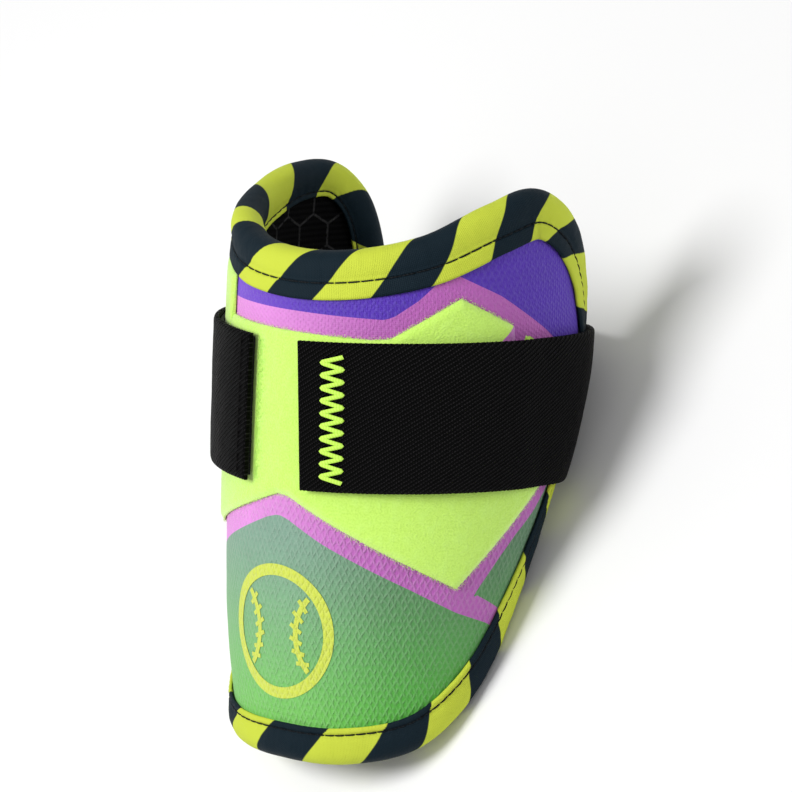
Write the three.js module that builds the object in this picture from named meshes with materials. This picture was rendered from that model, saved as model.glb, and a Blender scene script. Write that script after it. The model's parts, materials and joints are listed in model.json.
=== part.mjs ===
// Elbow guard for a young baseball batter: a moulded pad that wraps two thirds of the arm, its
// lining, a loop patch on its outside, a binding round its whole edge, and one elastic strap that
// closes the gap and holds on the patch by a hook tab at each end.
//
// The guard is drawn first round a straight arm: x across, y along the arm towards the shoulder,
// z out through the spine, the line down the middle of the outside. At the end it is laid down,
// opening and strap below, as it rests on a table. Sizes are millimetres, angles are degrees.
import * as THREE from "three";

// Pad
const PAD_LENGTH = 145.5;
const PAD_THICKNESS = 4;
const UPPER_RADIUS = 47.6;
const WRIST_RADIUS = 40;
const CENTRE_RISE = 11;
const EDGE_CURL = 4.5;
const CURL_REACH = 16;
const LINING_THICKNESS = 1;

// Binding
const BINDING_WALL = 1;
const BINDING_BULGE = 0.3;
const BINDING_PINCH = 0.35;
const BINDING_NOSE = 2;
const NOSE_SHOULDER = 0.8;
const LOW_BINDING_WIDTH = 8.1;
const TOP_BINDING_WIDTH = 10.6;
const INNER_BINDING_WIDTH = 7.6;
const STITCH_INSET = 6.4;

// Loop patch
const PATCH_THICKNESS = 1.2;
const PATCH_MARGIN = 0.6;

// Strap and its hook tabs
const STRAP_WIDTH = 38;
const STRAP_THICKNESS = 1.6;
const STRAP_START = 69.5;
const RIGHT_END_ANGLE = 10.9;
const RIGHT_END_SLANT = -2.8;
const LEFT_END_ANGLE = -9.8;
const LEFT_END_SLANT = 0.6;
const STRAP_RISE = 0.6;
const RIGHT_BOW = 0.6;
const LEFT_BOW = 1.9;
const TAB_THICKNESS = 0.9;
const TAB_LENGTH = 50;
const TAB_INSET = 1;
const STRAP_EASE = 9;
const STRAP_BEND = 5;

const CLEARANCE = 0.3;
const EDGE_SETBACK = 1.2;

// Sections of the pad's outer face, each a round of its own radius whose centre rises
// towards the wrist and whose sides curl in at the edge. along is a share of PAD_LENGTH,
// narrowing of the radii's difference, rise of CENTRE_RISE and curl of EDGE_CURL.
const SECTIONS = [
  { along: -0.1, narrowing: 1.1, rise: 1.2, curl: 0 },
  { along: 0, narrowing: 0.95, rise: 1.06, curl: 0 },
  { along: 0.25, narrowing: 0.5, rise: 0.86, curl: 0.75 },
  { along: 0.5, narrowing: 0.15, rise: 0.46, curl: 1.05 },
  { along: 0.75, narrowing: 0, rise: 0.16, curl: 0.6 },
  { along: 1, narrowing: 0.1, rise: 0, curl: 0 },
  { along: 1.1, narrowing: 0.2, rise: -0.04, curl: 0 },
];

// Edge of the pad, once round from the dip over the elbow: side is the angle from the spine
// and along a share of PAD_LENGTH.
const OUTLINE = [
  { side: 14, along: 0.888 },
  { side: 45, along: 0.914 },
  { side: 68, along: 0.966 },
  { side: 86, along: 0.99 },
  { side: 102.5, along: 0.948 },
  { side: 116.5, along: 0.855 },
  { side: 125.5, along: 0.706 },
  { side: 120.5, along: 0.567 },
  { side: 109, along: 0.429 },
  { side: 95.5, along: 0.273 },
  { side: 80, along: 0.136 },
  { side: 57.5, along: 0.036 },
  { side: 30, along: 0.003 },
  { side: 0, along: 0 },
  { side: -30, along: 0.003 },
  { side: -57.5, along: 0.036 },
  { side: -80, along: 0.136 },
  { side: -95.5, along: 0.273 },
  { side: -109, along: 0.429 },
  { side: -120.5, along: 0.567 },
  { side: -126, along: 0.706 },
  { side: -124.5, along: 0.845 },
  { side: -117.5, along: 0.944 },
  { side: -105.5, along: 0.997 },
  { side: -89, along: 0.999 },
  { side: -67, along: 0.968 },
  { side: -44, along: 0.937 },
  { side: -18, along: 0.9 },
];

// Lower and upper edge of the loop patch from left to right, as shares of PAD_LENGTH. Left of
// the step, and where an edge would pass the binding, the patch stops at the binding.
const PATCH_LOWER = [
  { side: -128, along: 0.3 },
  { side: -60, along: 0.36 },
  { side: -44, along: 0.382 },
  { side: 0.5, along: 0.468 },
  { side: 5, along: 0.466 },
  { side: 64.3, along: 0.309 },
  { side: 93, along: 0.478 },
];
const PATCH_UPPER = [
  { side: -128, along: 1.1 },
  { side: -30.5, along: 1.1 },
  { side: -30, along: 0.767 },
  { side: 31, along: 0.75 },
  { side: 37, along: 0.752 },
  { side: 58.1, along: 0.821 },
  { side: 76.3, along: 0.768 },
  { side: 77, along: 0.72 },
  { side: 93, along: 0.488 },
];

// Mesh density
const PAD_COLUMNS = 42;
const PAD_ROWS = 12;
const PATCH_COLUMN_ANGLE = 6.5;
const PATCH_ROWS = 8;
const BINDING_STATIONS = 96;
const STRAP_STEPS = 18;
const BEND_STEPS = 6;
const STRAP_ROWS = 4;
const OUTLINE_SAMPLES = 360;
const FACE_STEP = 0.5;
const PITCH_HALVINGS = 30;

const LINING_FACE = -(PAD_THICKNESS + CLEARANCE + LINING_THICKNESS);
const PATCH_FACE = CLEARANCE + PATCH_THICKNESS;
const STRAP_LIFT = CLEARANCE + BINDING_WALL + BINDING_BULGE + 2 * CLEARANCE;
const TAB_LIFT = PATCH_FACE + CLEARANCE;
const STRAP_OVER_TAB = TAB_LIFT + TAB_THICKNESS + CLEARANCE;
const STRAP_END = STRAP_START + STRAP_WIDTH;
const MEAN_RADIUS = (UPPER_RADIUS + WRIST_RADIUS) / 2;

const radians = THREE.MathUtils.degToRad;
const smooth = THREE.MathUtils.smoothstep;

// Length along the arm of one of the patch's edges at an angle from the spine.
function patchEdge(rows, side) {
  const i = Math.max(rows.findIndex((row) => row.side >= side), 1);
  const share = (side - rows[i - 1].side) / (rows[i].side - rows[i - 1].side);
  return PAD_LENGTH * THREE.MathUtils.lerp(rows[i - 1].along, rows[i].along, share);
}

// One column of SECTIONS at a share of the pad's length, on a smooth curve through the rows.
function sectionAt(along, column) {
  const last = SECTIONS.length - 1;
  const slope = (i) => {
    const a = SECTIONS[Math.max(i - 1, 0)];
    const b = SECTIONS[Math.min(i + 1, last)];
    return (b[column] - a[column]) / (b.along - a.along);
  };
  const place = THREE.MathUtils.clamp(along / PAD_LENGTH, SECTIONS[0].along, SECTIONS[last].along);
  const i = Math.max(SECTIONS.findIndex((row) => row.along >= place), 1);
  const [before, after] = [SECTIONS[i - 1], SECTIONS[i]];
  const span = after.along - before.along;
  const t = (place - before.along) / span;
  const stays = (1 + 2 * t) * (1 - t) ** 2;
  return (
    stays * before[column] +
    (1 - stays) * after[column] +
    t * (1 - t) ** 2 * span * slope(i - 1) -
    t ** 2 * (1 - t) * span * slope(i)
  );
}

function radiusAt(along) {
  return UPPER_RADIUS - sectionAt(along, "narrowing") * (UPPER_RADIUS - WRIST_RADIUS);
}

function centreAt(along) {
  return CENTRE_RISE * sectionAt(along, "rise");
}

const acrossOf = (side) => radians(side) * MEAN_RADIUS;
const sideOf = (across) => THREE.MathUtils.radToDeg(across / MEAN_RADIUS);

// The pad's edge laid flat, with its direction out of the pad.
const outline = new THREE.CatmullRomCurve3(
  OUTLINE.map((row) => new THREE.Vector3(acrossOf(row.side), row.along * PAD_LENGTH, 0)),
  true,
);

function edgeAt(share) {
  const at = outline.getPointAt(share % 1);
  const run = outline.getTangentAt(share % 1);
  return { at: new THREE.Vector2(at.x, at.y), out: new THREE.Vector2(-run.y, run.x) };
}

const edgeSamples = Array.from({ length: OUTLINE_SAMPLES }, (_, i) => edgeAt(i / OUTLINE_SAMPLES));

// Distance of a flat point inside the pad's edge, negative beyond it.
function insideEdge(point) {
  let nearest = edgeSamples[0];
  for (const sample of edgeSamples) {
    if (sample.at.distanceToSquared(point) < nearest.at.distanceToSquared(point)) nearest = sample;
  }
  return nearest.at.clone().sub(point).dot(nearest.out);
}

// How far the pad's face has curled in at a flat point.
function curlAt(point) {
  const nearness = Math.max(1 - insideEdge(point) / CURL_REACH, 0);
  return EDGE_CURL * sectionAt(point.y, "curl") * nearness ** 2;
}

// Point on the pad's outer face, from its place across and along.
function facePoint(across, along) {
  const angle = radians(sideOf(across));
  const radius = radiusAt(along) - curlAt(new THREE.Vector2(across, along));
  return new THREE.Vector3(
    radius * Math.sin(angle),
    along,
    centreAt(along) + radius * Math.cos(angle),
  );
}

// Point of the guard at an angle from the spine, a length along the arm and a lift off the
// pad's outer face.
function guardPoint(side, along, lift) {
  const across = acrossOf(side);
  const round = facePoint(across + FACE_STEP, along).sub(facePoint(across - FACE_STEP, along));
  const run = facePoint(across, along + FACE_STEP).sub(facePoint(across, along - FACE_STEP));
  const normal = round.cross(run).normalize();
  return facePoint(across, along).addScaledVector(normal, lift);
}

// The flat edge moved in by a distance that may depend on the length along the arm.
function insetEdge(inset) {
  return edgeSamples.map(({ at, out }) => at.clone().addScaledVector(out, -inset(at.y)));
}

// Lowest and highest point of a flat edge at a distance across.
function spanAt(edge, across) {
  const found = [];
  edge.forEach((a, i) => {
    const b = edge[(i + 1) % edge.length];
    if ((a.x - across) * (b.x - across) > 0 || a.x === b.x) return;
    found.push(a.y + ((across - a.x) / (b.x - a.x)) * (b.y - a.y));
  });
  return { low: Math.min(...found), high: Math.max(...found) };
}

function bindingWidth(along) {
  const share = smooth(along / PAD_LENGTH, 0.35, 0.85);
  return THREE.MathUtils.lerp(LOW_BINDING_WIDTH, TOP_BINDING_WIDTH, share);
}

function geometryFrom(points, faces) {
  const geometry = new THREE.BufferGeometry().setFromPoints(points);
  geometry.setIndex(faces);
  geometry.computeVertexNormals();
  return geometry;
}

// Closed solid between two like grids of points, its walls along the grids' four sides.
function solidBetween(outer, inner) {
  const rows = outer.length;
  const columns = outer[0].length;
  const points = [...outer.flat(), ...inner.flat()];
  const faces = [];
  const top = (i, j) => i * columns + j;
  const bottom = (i, j) => rows * columns + top(i, j);
  const quad = (a, b, c, d) => faces.push(a, b, c, a, c, d);
  for (let i = 0; i + 1 < rows; i++) {
    for (let j = 0; j + 1 < columns; j++) {
      quad(top(i, j), top(i + 1, j), top(i + 1, j + 1), top(i, j + 1));
      quad(bottom(i, j), bottom(i, j + 1), bottom(i + 1, j + 1), bottom(i + 1, j));
    }
    quad(top(i + 1, 0), top(i, 0), bottom(i, 0), bottom(i + 1, 0));
    quad(top(i, columns - 1), top(i + 1, columns - 1), bottom(i + 1, columns - 1), bottom(i, columns - 1));
  }
  for (let j = 0; j + 1 < columns; j++) {
    quad(top(0, j), top(0, j + 1), bottom(0, j + 1), bottom(0, j));
    quad(top(rows - 1, j + 1), top(rows - 1, j), bottom(rows - 1, j), bottom(rows - 1, j + 1));
  }
  return geometryFrom(points, faces);
}

// Closed ring through like sections, the last joined to the first.
function ringThrough(sections) {
  const size = sections[0].length;
  const faces = [];
  sections.forEach((_, i) => {
    const next = (i + 1) % sections.length;
    for (let j = 0; j < size; j++) {
      const k = (j + 1) % size;
      faces.push(i * size + j, next * size + j, next * size + k);
      faces.push(i * size + j, next * size + k, i * size + k);
    }
  });
  return geometryFrom(sections.flat(), faces);
}

// Columns of points from each column's low to high end, at one lift.
function columnGrid(columns, rows, lift) {
  return columns.map(({ side, low, high }) =>
    Array.from({ length: rows + 1 }, (_, j) =>
      guardPoint(side, THREE.MathUtils.lerp(low, high, j / rows), lift),
    ),
  );
}

// Columns over the whole guard, closer together at its two ends.
function padColumns() {
  const edge = insetEdge(() => EDGE_SETBACK);
  const least = Math.min(...edge.map((p) => p.x));
  const most = Math.max(...edge.map((p) => p.x));
  return Array.from({ length: PAD_COLUMNS - 1 }, (_, i) => {
    const share = (1 - Math.cos((Math.PI * (i + 1)) / PAD_COLUMNS)) / 2;
    const across = THREE.MathUtils.lerp(least, most, share);
    return { side: sideOf(across), ...spanAt(edge, across) };
  });
}

function layer(from, to) {
  const columns = padColumns();
  return solidBetween(columnGrid(columns, PAD_ROWS, to), columnGrid(columns, PAD_ROWS, from));
}

// The patch's columns: one at each corner of its edges and others evenly between.
function patchColumns() {
  const edge = insetEdge((along) => bindingWidth(along) + PATCH_MARGIN);
  const least = sideOf(Math.min(...edge.map((p) => p.x)) + PATCH_MARGIN);
  const corners = [...PATCH_LOWER, ...PATCH_UPPER].map((row) => row.side);
  const ends = [least, ...new Set(corners.filter((side) => side > least))].sort((a, b) => a - b);
  const sides = ends.flatMap((side, i) => {
    if (i + 1 === ends.length) return [side];
    const steps = Math.ceil((ends[i + 1] - side) / PATCH_COLUMN_ANGLE);
    return Array.from({ length: steps }, (_, k) => THREE.MathUtils.lerp(side, ends[i + 1], k / steps));
  });
  return sides.map((side) => {
    const within = spanAt(edge, acrossOf(side));
    const low = Math.max(patchEdge(PATCH_LOWER, side), within.low);
    return { side, low, high: Math.min(patchEdge(PATCH_UPPER, side), within.high) };
  });
}

function loopPatch() {
  const columns = patchColumns();
  return solidBetween(
    columnGrid(columns, PATCH_ROWS, PATCH_FACE),
    columnGrid(columns, PATCH_ROWS, CLEARANCE),
  );
}

// The binding's section: out is the distance past the pad's edge, lift the height off its face.
function bindingSection(along) {
  const width = bindingWidth(along);
  const face = CLEARANCE + BINDING_WALL;
  const back = LINING_FACE - face;
  const middle = LINING_FACE / 2;
  const stitch = -STITCH_INSET;
  return [
    { out: -width, lift: CLEARANCE },
    { out: -width, lift: face },
    { out: stitch - BINDING_WALL, lift: face },
    { out: stitch, lift: face - BINDING_PINCH },
    { out: stitch + BINDING_WALL, lift: face },
    { out: stitch / 2, lift: face + BINDING_BULGE },
    { out: 0, lift: face },
    { out: BINDING_NOSE * NOSE_SHOULDER, lift: middle / 2 },
    { out: BINDING_NOSE, lift: middle },
    { out: BINDING_NOSE * NOSE_SHOULDER, lift: LINING_FACE - middle / 2 },
    { out: 0, lift: back },
    { out: stitch / 2, lift: back - BINDING_BULGE },
    { out: stitch, lift: back + BINDING_PINCH },
    { out: -INNER_BINDING_WIDTH, lift: back },
    { out: -INNER_BINDING_WIDTH, lift: LINING_FACE - CLEARANCE },
    { out: stitch / 2, lift: LINING_FACE - CLEARANCE },
    { out: CLEARANCE, lift: LINING_FACE - CLEARANCE },
    { out: CLEARANCE, lift: CLEARANCE },
    { out: stitch / 2, lift: CLEARANCE },
    { out: stitch, lift: CLEARANCE },
  ];
}

function binding() {
  const sections = Array.from({ length: BINDING_STATIONS }, (_, i) => {
    const { at, out } = edgeAt(i / BINDING_STATIONS);
    return bindingSection(at.y).map((corner) => {
      const flat = at.clone().addScaledVector(out, corner.out);
      return guardPoint(sideOf(flat.x), flat.y, corner.lift);
    });
  });
  return ringThrough(sections);
}

const angleOf = (length) => THREE.MathUtils.radToDeg(length / UPPER_RADIUS);
const strapLevels = Array.from({ length: STRAP_ROWS + 1 }, (_, k) =>
  THREE.MathUtils.lerp(STRAP_START, STRAP_END, k / STRAP_ROWS),
);

// Angles at which the strap leaves the guard's edges at a level.
const padEdge = insetEdge(() => 0);
function edgeAngles(along) {
  const found = [];
  padEdge.forEach((a, i) => {
    const b = padEdge[(i + 1) % padEdge.length];
    if ((a.y - along) * (b.y - along) > 0 || a.y === b.y) return;
    found.push(sideOf(a.x + ((along - a.y) / (b.y - a.y)) * (b.x - a.x)));
  });
  return { left: Math.min(...found), right: Math.max(...found) };
}

// Where the strap starts to turn off the guard, and how high it lies on the way there.
function strapLift(side, end) {
  const past = Math.abs(side - end) - angleOf(TAB_LENGTH + STRAP_BEND);
  const over = 1 - smooth(past, 0, angleOf(STRAP_EASE));
  return THREE.MathUtils.lerp(STRAP_LIFT, STRAP_OVER_TAB, over);
}

// The plane of the strap's free stretch: its height at a level, clear of both edges.
const noseHeight = (side, along) =>
  guardPoint(side, along, LINING_FACE / 2).z - (STRAP_LIFT - LINING_FACE / 2);
const lowestNose = (along) => {
  const { left, right } = edgeAngles(along);
  return Math.min(noseHeight(left, along), noseHeight(right, along));
};
const freeSlope = (lowestNose(STRAP_END) - lowestNose(STRAP_START)) / STRAP_WIDTH;
const freeRun = (along) => lowestNose(STRAP_START) + freeSlope * (along - STRAP_START);
const freeDrop = Math.min(...strapLevels.map((along) => lowestNose(along) - freeRun(along)));
const freeHeight = (along) => freeRun(along) + freeDrop;

// Angle of an end of the strap at each level.
const slantedEnd = (angle, slant) => (along) =>
  angle + slant * ((along - STRAP_START) / STRAP_WIDTH - 0.5);
const rightEndAngle = slantedEnd(RIGHT_END_ANGLE, RIGHT_END_SLANT);
const leftEndAngle = slantedEnd(LEFT_END_ANGLE, LEFT_END_SLANT);

// The strap bows towards the shoulder on both sides, more on the left: where a level of it lies
// at a share of the way to the edge.
function strapAlong(along, share) {
  const bow = (share < 0 ? LEFT_BOW : RIGHT_BOW) * Math.sin(Math.PI * Math.abs(share));
  return along + STRAP_RISE * Math.cos((Math.PI / 2) * share) + bow;
}

// One level of the strap's inner face, from its right end round the back to its left end.
function strapRun(along) {
  const edges = edgeAngles(along);
  const onGuard = (end, edge) =>
    Array.from({ length: STRAP_STEPS + 1 }, (_, i) => {
      const side = THREE.MathUtils.lerp(end, edge, i / STRAP_STEPS);
      return guardPoint(side, strapAlong(along, side / Math.abs(edge)), strapLift(side, end));
    });
  const bend = (edge) => {
    const leaves = guardPoint(edge, along, STRAP_LIFT);
    const before = guardPoint(edge - Math.sign(edge), along, STRAP_LIFT);
    const heading = leaves.clone().sub(before).normalize();
    const height = freeHeight(along);
    const reach = Math.max((height - leaves.z) / heading.z, 0);
    const corner = leaves.clone().addScaledVector(heading, reach);
    corner.y = along;
    const lands = new THREE.Vector3(corner.x - Math.sign(edge) * (reach + STRAP_BEND), along, height);
    const curve = new THREE.QuadraticBezierCurve3(leaves, corner, lands);
    return curve.getPoints(BEND_STEPS).slice(1);
  };
  return [
    ...onGuard(rightEndAngle(along), edges.right),
    ...bend(edges.right),
    ...bend(edges.left).reverse(),
    ...onGuard(leftEndAngle(along), edges.left).reverse(),
  ];
}

// A run of points at each level, thickened outwards into a closed solid.
function bandFrom(runs, thickness) {
  const outward = (run, i) => {
    const a = run[Math.max(i - 1, 0)];
    const b = run[Math.min(i + 1, run.length - 1)];
    return new THREE.Vector3(a.z - b.z, 0, b.x - a.x).normalize();
  };
  const steps = runs[0].length;
  const inner = Array.from({ length: steps }, (_, i) => runs.map((run) => run[i]));
  const outer = Array.from({ length: steps }, (_, i) =>
    runs.map((run) => run[i].clone().addScaledVector(outward(run, i), thickness)),
  );
  return solidBetween(outer, inner);
}

function strap() {
  return bandFrom(strapLevels.map(strapRun), STRAP_THICKNESS);
}

// A hook tab under one end of the strap, inset from the strap's end and edges.
function hookTab(endAngle, heading) {
  const from = STRAP_START + TAB_INSET;
  const to = STRAP_END - TAB_INSET;
  const steps = STRAP_STEPS / 2;
  const columns = Array.from({ length: steps + 1 }, (_, i) => {
    const length = TAB_INSET + ((TAB_LENGTH - TAB_INSET) * i) / steps;
    return Array.from({ length: STRAP_ROWS + 1 }, (_, k) => {
      const along = THREE.MathUtils.lerp(from, to, k / STRAP_ROWS);
      const edges = edgeAngles(along);
      const side = endAngle(along) + heading * angleOf(length);
      const share = side / (heading > 0 ? edges.right : -edges.left);
      return { side, along: strapAlong(along, share) };
    });
  });
  const face = (lift) => columns.map((row) => row.map((p) => guardPoint(p.side, p.along, lift)));
  const top = face(TAB_LIFT + TAB_THICKNESS);
  const bottom = face(TAB_LIFT);
  return heading > 0 ? solidBetween(top, bottom) : solidBetween(bottom, top);
}

const fabric = (color, roughness) => new THREE.MeshStandardMaterial({ color, roughness, metalness: 0 });

function piece(name, geometry, material) {
  const mesh = new THREE.Mesh(geometry, material);
  mesh.name = name;
  return mesh;
}

const guard = new THREE.Group();
guard.add(
  piece("pad", layer(-PAD_THICKNESS, 0), fabric(0x5f9e68, 0.75)),
  piece("lining", layer(LINING_FACE, -PAD_THICKNESS - CLEARANCE), fabric(0x101012, 0.85)),
  piece("loop_patch", loopPatch(), fabric(0xb6f04a, 0.95)),
  piece("binding", binding(), fabric(0xcbdc3c, 0.6)),
  piece("strap", strap(), fabric(0x121113, 0.8)),
  piece("hook_tab_right", hookTab(rightEndAngle, 1), fabric(0x18181a, 0.9)),
  piece("hook_tab_left", hookTab(leftEndAngle, -1), fabric(0x18181a, 0.9)),
);

// Lowest height of a piece once the guard is pitched back by an angle.
function lowestAt(mesh, pitch) {
  const points = mesh.geometry.attributes.position;
  const heights = Array.from(
    { length: points.count },
    (_, i) => points.getY(i) * Math.sin(pitch) + points.getZ(i) * Math.cos(pitch),
  );
  return Math.min(...heights);
}

// The pitch at which the strap's edge and the binding's rims touch the table together.
function restPitch(held, rim) {
  let low = 0;
  let high = Math.PI / 2;
  for (let i = 0; i < PITCH_HALVINGS; i++) {
    const pitch = (low + high) / 2;
    if (lowestAt(held, pitch) < lowestAt(rim, pitch)) low = pitch;
    else high = pitch;
  }
  return low;
}

// Laid down as it rests by itself, its box centred on the origin and standing on z = 0.
const laidDown = new THREE.Group();
laidDown.add(guard);
guard.rotation.x = restPitch(guard.getObjectByName("strap"), guard.getObjectByName("binding"));
const box = new THREE.Box3().setFromObject(laidDown, true);
const middle = box.getCenter(new THREE.Vector3());
guard.position.set(-middle.x, -middle.y, -box.min.z);

export default laidDown;
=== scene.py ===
# The looks of the elbow guard: its cloths, binding, strap, stitching and print, made round the
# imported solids. Lengths are millimetres on the guard until a mesh is made, then metres.
import json
import math

import bpy
import numpy as np
from mathutils import Matrix, Vector


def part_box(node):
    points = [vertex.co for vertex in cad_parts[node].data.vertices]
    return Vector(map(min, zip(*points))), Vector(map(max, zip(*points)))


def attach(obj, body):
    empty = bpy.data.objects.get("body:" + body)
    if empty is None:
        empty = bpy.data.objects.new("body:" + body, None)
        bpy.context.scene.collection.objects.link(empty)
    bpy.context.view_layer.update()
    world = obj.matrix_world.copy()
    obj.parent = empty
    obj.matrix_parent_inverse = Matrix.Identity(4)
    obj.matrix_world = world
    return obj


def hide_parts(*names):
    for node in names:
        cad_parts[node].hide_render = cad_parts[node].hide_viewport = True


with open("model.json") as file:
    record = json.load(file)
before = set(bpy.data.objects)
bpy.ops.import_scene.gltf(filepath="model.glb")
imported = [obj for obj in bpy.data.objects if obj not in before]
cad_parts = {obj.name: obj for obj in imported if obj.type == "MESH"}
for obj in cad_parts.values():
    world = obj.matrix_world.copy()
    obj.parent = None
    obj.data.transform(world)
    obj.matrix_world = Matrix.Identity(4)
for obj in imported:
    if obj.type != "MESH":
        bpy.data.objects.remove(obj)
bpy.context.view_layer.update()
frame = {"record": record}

# Sizes of the guard, as its solids have them
PAD_LENGTH = 145.5
PAD_THICKNESS = 4.0
UPPER_RADIUS = 47.6
WRIST_RADIUS = 40.0
CENTRE_RISE = 11.0
EDGE_CURL = 4.5
CURL_REACH = 16.0
LINING_THICKNESS = 1.0
BINDING_WALL = 1.0
BINDING_BULGE = 0.3
LOW_BINDING_WIDTH = 8.1
TOP_BINDING_WIDTH = 10.6
INNER_BINDING_WIDTH = 7.6
STITCH_INSET = 6.4
PATCH_THICKNESS = 1.2
PATCH_MARGIN = 0.6
STRAP_WIDTH = 38.0
STRAP_THICKNESS = 1.6
STRAP_START = 69.5
RIGHT_END_ANGLE = 10.9
RIGHT_END_SLANT = -2.8
LEFT_END_ANGLE = -9.8
LEFT_END_SLANT = 0.6
STRAP_RISE = 0.6
RIGHT_BOW = 0.6
LEFT_BOW = 1.9
TAB_THICKNESS = 0.9
TAB_LENGTH = 50.0
TAB_INSET = 1.0
STRAP_EASE = 9.0
STRAP_BEND = 5.0
CLEARANCE = 0.3
EDGE_SETBACK = 1.2

# Sizes of what is made here only
COVER_SWELL = 0.12
PILE_ROUND = 2.2
HAIR_WIDTH = 0.05
STITCH_PITCH = 3.1
GROOVE_DEPTH = 0.45
END_STITCH_INSET = 3.2
STRAP_KNOB_PITCH = 1.25

LINING_FACE = -(PAD_THICKNESS + CLEARANCE + LINING_THICKNESS)
PATCH_FACE = CLEARANCE + PATCH_THICKNESS
STRAP_LIFT = CLEARANCE + BINDING_WALL + BINDING_BULGE + 2 * CLEARANCE
TAB_LIFT = PATCH_FACE + CLEARANCE
STRAP_OVER_TAB = TAB_LIFT + TAB_THICKNESS + CLEARANCE
STRAP_END = STRAP_START + STRAP_WIDTH
MEAN_RADIUS = (UPPER_RADIUS + WRIST_RADIUS) / 2

# How finely the meshes are made: columns and rows, or steps, stations and hairs
CAD_PAD_GRID = (42, 12)
PAD_GRID = (210, 170)
LINING_GRID = (150, 120)
TAB_GRID = (40, 24)
PATCH_ROWS = 150
PATCH_STEP = 1.0
BORDER_POINTS = 1400
BORDER_HAIRS = 7000
END_HAIRS = 900
BINDING_STATIONS = 620
STITCH_STEPS = 24
CURVE_STEPS = 60
EDGE_POINTS = 720
CHUNK = 4000
# The strap's steps on the guard, round each rim and across the opening, then its levels
STRAP_STEPS = (260, 26, 60)
EDGE_LEVELS = np.array([0, 0.006, 0.016, 0.032, 0.06])
STRAP_LEVELS = np.r_[EDGE_LEVELS, np.linspace(0.1, 0.9, 17), 1 - EDGE_LEVELS[::-1]]
# A hair's stations: share of its length, and rise as a share of it
HAIR_STATIONS = [(0.0, 0.0), (0.4, 0.3), (0.8, 0.32), (1.0, 0.18)]

# Sections of the pad's outer face: a share of PAD_LENGTH along it, and there the narrowing as a
# share of the radii's difference, the rise of CENTRE_RISE and the curl of EDGE_CURL.
SECTIONS = np.array([
    (-0.1, 1.1, 1.2, 0), (0, 0.95, 1.06, 0), (0.25, 0.5, 0.86, 0.75), (0.5, 0.15, 0.46, 1.05),
    (0.75, 0, 0.16, 0.6), (1, 0.1, 0, 0), (1.1, 0.2, -0.04, 0),
])

# The pad's edge, once round: the angle from the spine and a share of PAD_LENGTH.
OUTLINE = [
    (14, 0.888), (45, 0.914), (68, 0.966), (86, 0.99), (102.5, 0.948), (116.5, 0.855),
    (125.5, 0.706), (120.5, 0.567), (109, 0.429), (95.5, 0.273), (80, 0.136), (57.5, 0.036),
    (30, 0.003), (0, 0), (-30, 0.003), (-57.5, 0.036), (-80, 0.136), (-95.5, 0.273),
    (-109, 0.429), (-120.5, 0.567), (-126, 0.706), (-124.5, 0.845), (-117.5, 0.944),
    (-105.5, 0.997), (-89, 0.999), (-67, 0.968), (-44, 0.937), (-18, 0.9),
]

# Edges of the loop patch, then of the printed colours: angle from the spine, share of PAD_LENGTH.
PATCH_LOWER = [
    (-128, 0.3), (-60, 0.36), (-44, 0.382), (0.5, 0.468), (5, 0.466), (64.3, 0.309), (93, 0.478),
]
PATCH_UPPER = [
    (-128, 1.1), (-30.5, 1.1), (-30, 0.767), (31, 0.75), (37, 0.752), (58.1, 0.821),
    (76.3, 0.768), (77, 0.72), (93, 0.488),
]
PURPLE_LOWER = [
    (-128, 0.84), (-29, 0.8), (5.6, 0.793), (34.5, 0.785), (37.5, 0.789), (45.3, 0.819),
    (54.5, 0.868), (71.7, 0.822), (89.6, 0.757), (100, 0.715), (128, 0.6),
]
GREEN_UPPER = [
    (-128, 0.24), (-72.7, 0.3), (-44, 0.337), (-14.6, 0.401), (-4.4, 0.423), (0.7, 0.43),
    (4.7, 0.424), (18.1, 0.387), (48.9, 0.31), (65.5, 0.265), (78, 0.24), (128, 0.1),
]
SLASH_START = 66
SLASH_LOWER = [(67, 0.24), (71.7, 0.296), (79, 0.275), (128, 0.13)]
SLASH_UPPER = [
    (67, 0.24), (71.7, 0.297), (79.9, 0.359), (85.9, 0.397), (92.7, 0.43), (99.7, 0.469),
    (128, 0.62),
]
# Straight edges between two points, with the cover's bright corner, and then the patch's pink
# one, on their left
CORNER_EDGES = [(81.6, 0.752, 68, 0.565), (97, 0.702, 81.6, 0.752), (60, 0.65, 128, 0.65)]
PATCH_PINK_EDGES = [(77.2, 0.776, 70.2, 0.737), (60, 0.65, 128, 0.65)]


# Points along flat lines

def unit(ways):
    return ways / np.linalg.norm(ways, axis=-1)[..., None]


def run_along(path):
    """Length passed at each point of a path."""
    return np.r_[0, np.cumsum(np.linalg.norm(np.diff(path, axis=0), axis=1))]


def places_at(wanted, run, flat):
    """Flat places at the wanted lengths of a run."""
    return np.column_stack([np.interp(wanted, run, flat[:, k]) for k in (0, 1)])


def nearest(flat, line):
    """Which point of a line is the nearest to each flat place, and how far off it is."""
    index, away = [], []
    for start in range(0, len(flat), CHUNK):
        squares = ((flat[start : start + CHUNK, None] - line) ** 2).sum(2)
        index.append(squares.argmin(1))
        away.append(np.sqrt(squares.min(1)))
    return np.concatenate(index), np.concatenate(away)


def span_at(edge, across):
    """Lowest and highest length along the pad where a flat edge crosses places across."""
    a, b = edge, np.roll(edge, -1, 0)
    low, high = [], []
    for x in across:
        crossed = (a[:, 0] - x) * (b[:, 0] - x) <= 0
        run = (x - a[crossed, 0]) / (b[crossed, 0] - a[crossed, 0])
        at = a[crossed, 1] + run * (b[crossed, 1] - a[crossed, 1])
        low.append(at.min())
        high.append(at.max())
    return np.array(low), np.array(high)


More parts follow.
